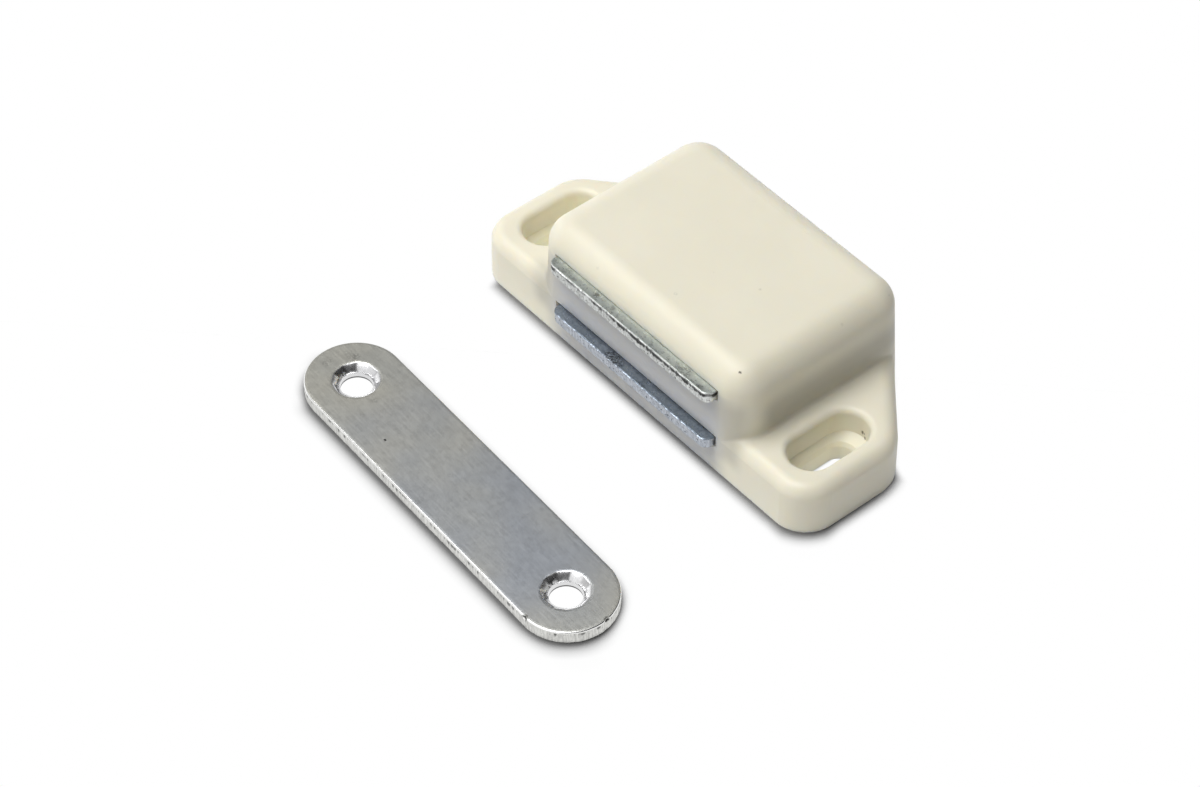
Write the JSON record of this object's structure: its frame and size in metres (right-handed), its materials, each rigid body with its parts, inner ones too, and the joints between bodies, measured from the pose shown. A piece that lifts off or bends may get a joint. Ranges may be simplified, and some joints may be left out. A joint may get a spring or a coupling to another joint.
{
  "type": "magnetic catch",
  "caption": "Surface-mounted magnetic cabinet catch: moulded housing with slotted screw ears, a floating magnet between steel pole plates, and a countersunk counter plate.",
  "frame": {"origin": "on the mounting surface, midway between the two screw slots", "axes": "+Z away from the mounting surface, X along the housing, -Y the way the pole faces look towards the door"},
  "size_m": [0.0584, 0.058, 0.016],
  "materials": {
    "housing_plastic": "satin ivory moulding, fine grain",
    "cover_plastic": "satin ivory moulding",
    "pole_steel": "zinc-plated strip with sheared edges",
    "strike_steel": "zinc-plated strip, lightly mottled",
    "magnet_ferrite": "ground dark ferrite"
  },
  "bodies": {
    "housing": {"housing": "housing_plastic", "base_cover": "cover_plastic", "strike_plate": "strike_steel"},
    "magnet_pack": {"magnet": "magnet_ferrite", "upper_pole_plate": "pole_steel", "lower_pole_plate": "pole_steel"}
  },
  "joints": [
    {"name": "pole_float", "type": "slide", "parent": "housing", "child": "magnet_pack", "axis": [0, -1, 0], "range_m": [-0.00055, 0.00035]}
  ]
}
